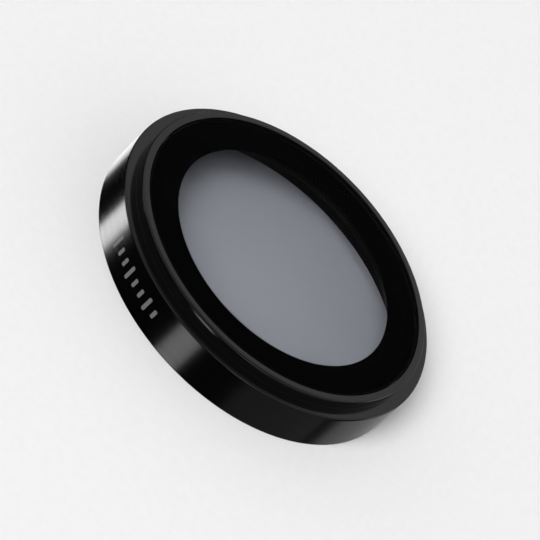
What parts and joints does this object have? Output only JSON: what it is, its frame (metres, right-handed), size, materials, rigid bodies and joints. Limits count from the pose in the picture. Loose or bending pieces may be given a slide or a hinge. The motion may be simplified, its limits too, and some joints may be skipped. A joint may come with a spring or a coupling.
{
  "type": "phone camera lens protector",
  "caption": "Round protective cover for a phone camera lens: a black stepped metal ring whose thin skirt slips over the lens, closed by a flat glass with a black border and a clear window.",
  "frame": {"origin": "centre of the skirt's foot, the lowest face, on the lens axis", "axes": "+Z along the lens axis, out through the glass; -Y towards the printed marks on the skirt"},
  "size_m": [0.0154, 0.0154, 0.0024],
  "materials": {
    "anodised_ring": "black anodised, satin on the flats, glossier on the turned skirt",
    "cover_glass": "polished, with a faint violet anti-reflective coating",
    "border_ink": "opaque black screen print",
    "bond_glue": "cured black glue line",
    "tape_adhesive": "black soft adhesive",
    "tape_film": "black polyester film"
  },
  "bodies": {
    "root": {"frame_ring": "anodised_ring", "cover_glass": "cover_glass", "border_print": "border_ink", "glass_bond": "bond_glue", "tape_frame_adhesive": "tape_adhesive", "tape_carrier": "tape_film", "tape_phone_adhesive": "tape_adhesive"}
  },
  "joints": []
}
